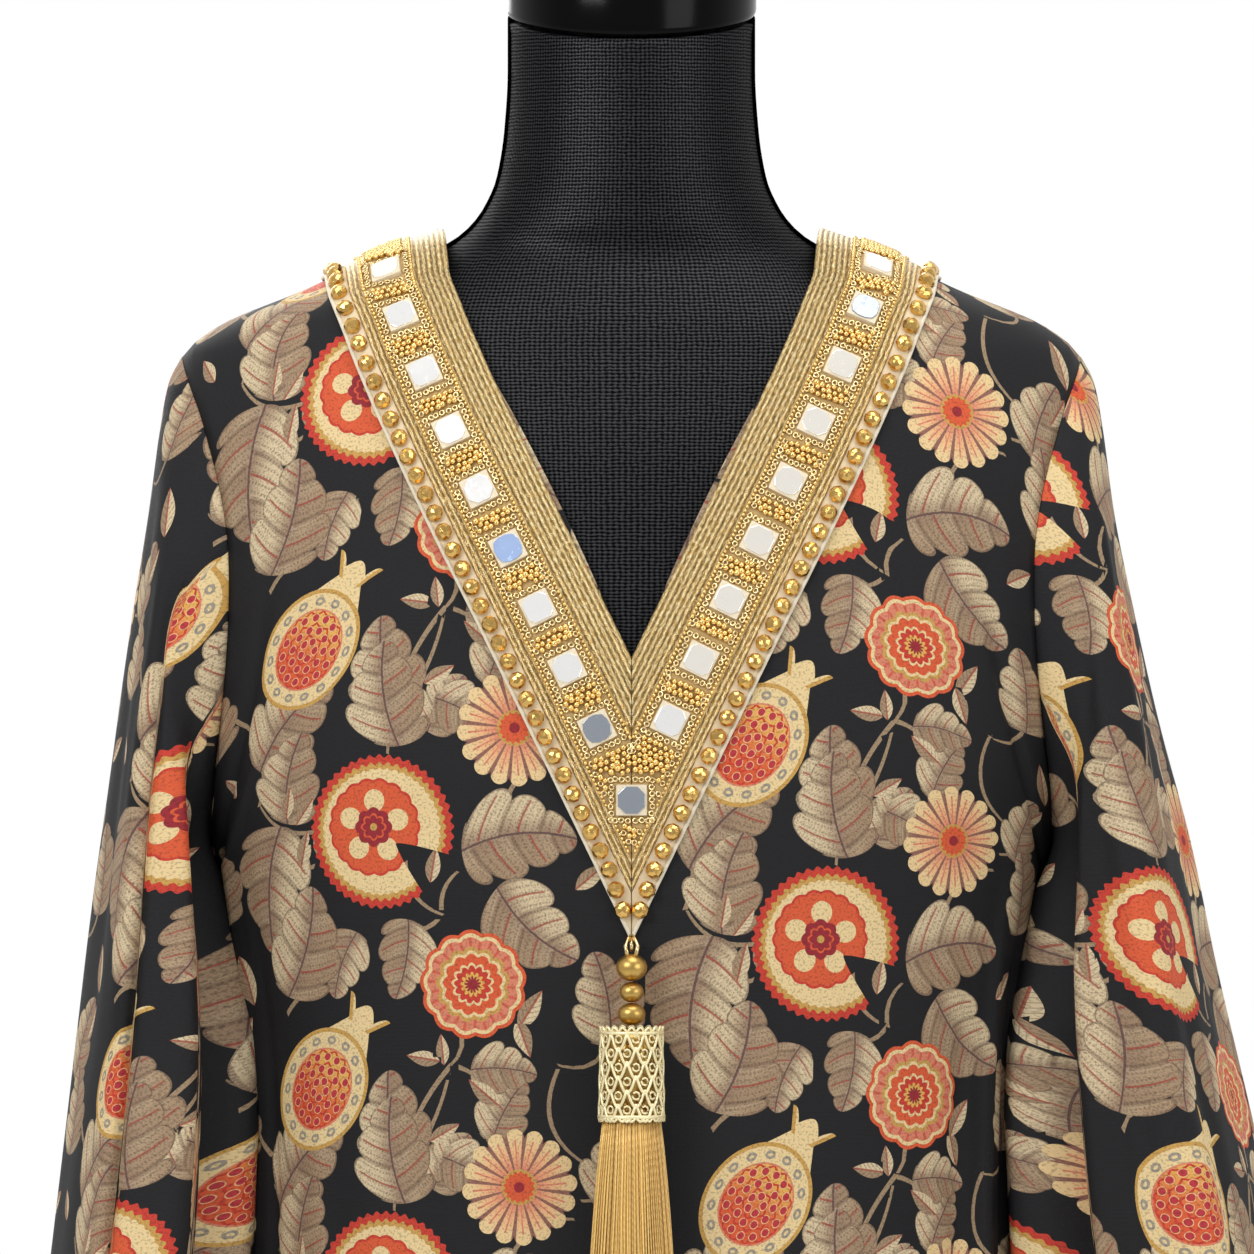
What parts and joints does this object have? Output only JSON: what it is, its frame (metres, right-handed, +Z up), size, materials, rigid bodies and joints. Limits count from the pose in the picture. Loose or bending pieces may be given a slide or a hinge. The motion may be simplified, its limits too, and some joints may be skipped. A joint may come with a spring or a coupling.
{
  "type": "embroidered kaftan on a dress form",
  "caption": "Long printed kaftan with wide sleeves, a V neck edged by a beaded mirror-work band, and a hanging tassel, shown on a black limbless dress form with a round base.",
  "frame": {"origin": "centre of the underside of the stand's round base, on the floor", "axes": "+Z up along the stand's pole; the front of the kaftan faces -Y; +X is to the right as seen from the front"},
  "size_m": [0.6469, 0.414, 1.5798],
  "materials": {
    "printed_cloth": "near-black crepe weave printed with medallions, fruit and leaves in red, ochre, cream and taupe",
    "gold_band": "gold metallic braid, beadwork and pale tape on a woven ground",
    "mirror_glass": "small silvered glass squares with rounded corners",
    "gold_bead": "satin gold",
    "pierced_cap": "pale gold openwork",
    "tassel_thread": "lustrous golden thread",
    "form_cloth": "black woven cover",
    "form_gloss": "polished black",
    "stand_metal": "satin black"
  },
  "bodies": {
    "root": {"back": "printed_cloth", "band_back": "gold_band", "band_left": "gold_band", "band_right": "gold_band", "form_neck_cap": "form_gloss", "form_torso": "form_cloth", "front": "printed_cloth", "mirror_back_left_1": "mirror_glass", "mirror_back_left_2": "mirror_glass", "mirror_back_left_3": "mirror_glass", "mirror_back_left_4": "mirror_glass", "mirror_back_middle": "mirror_glass", "mirror_back_right_1": "mirror_glass", "mirror_back_right_2": "mirror_glass", "mirror_back_right_3": "mirror_glass", "mirror_back_right_4": "mirror_glass", "mirror_left_1": "mirror_glass", "mirror_left_2": "mirror_glass", "mirror_left_3": "mirror_glass", "mirror_left_4": "mirror_glass", "mirror_left_5": "mirror_glass", "mirror_left_6": "mirror_glass", "mirror_left_7": "mirror_glass", "mirror_left_8": "mirror_glass", "mirror_left_9": "mirror_glass", "mirror_point": "mirror_glass", "mirror_right_1": "mirror_glass", "mirror_right_2": "mirror_glass", "mirror_right_3": "mirror_glass", "mirror_right_4": "mirror_glass", "mirror_right_5": "mirror_glass", "mirror_right_6": "mirror_glass", "mirror_right_7": "mirror_glass", "mirror_right_8": "mirror_glass", "mirror_right_9": "mirror_glass", "sleeve_left": "printed_cloth", "sleeve_right": "printed_cloth", "stand_base": "stand_metal", "stand_pole": "stand_metal", "tassel_bead_1": "gold_bead", "tassel_bead_2": "gold_bead", "tassel_bead_3": "gold_bead", "tassel_cap": "pierced_cap", "tassel_loop": "gold_bead", "tassel_threads": "tassel_thread"}
  },
  "joints": []
}
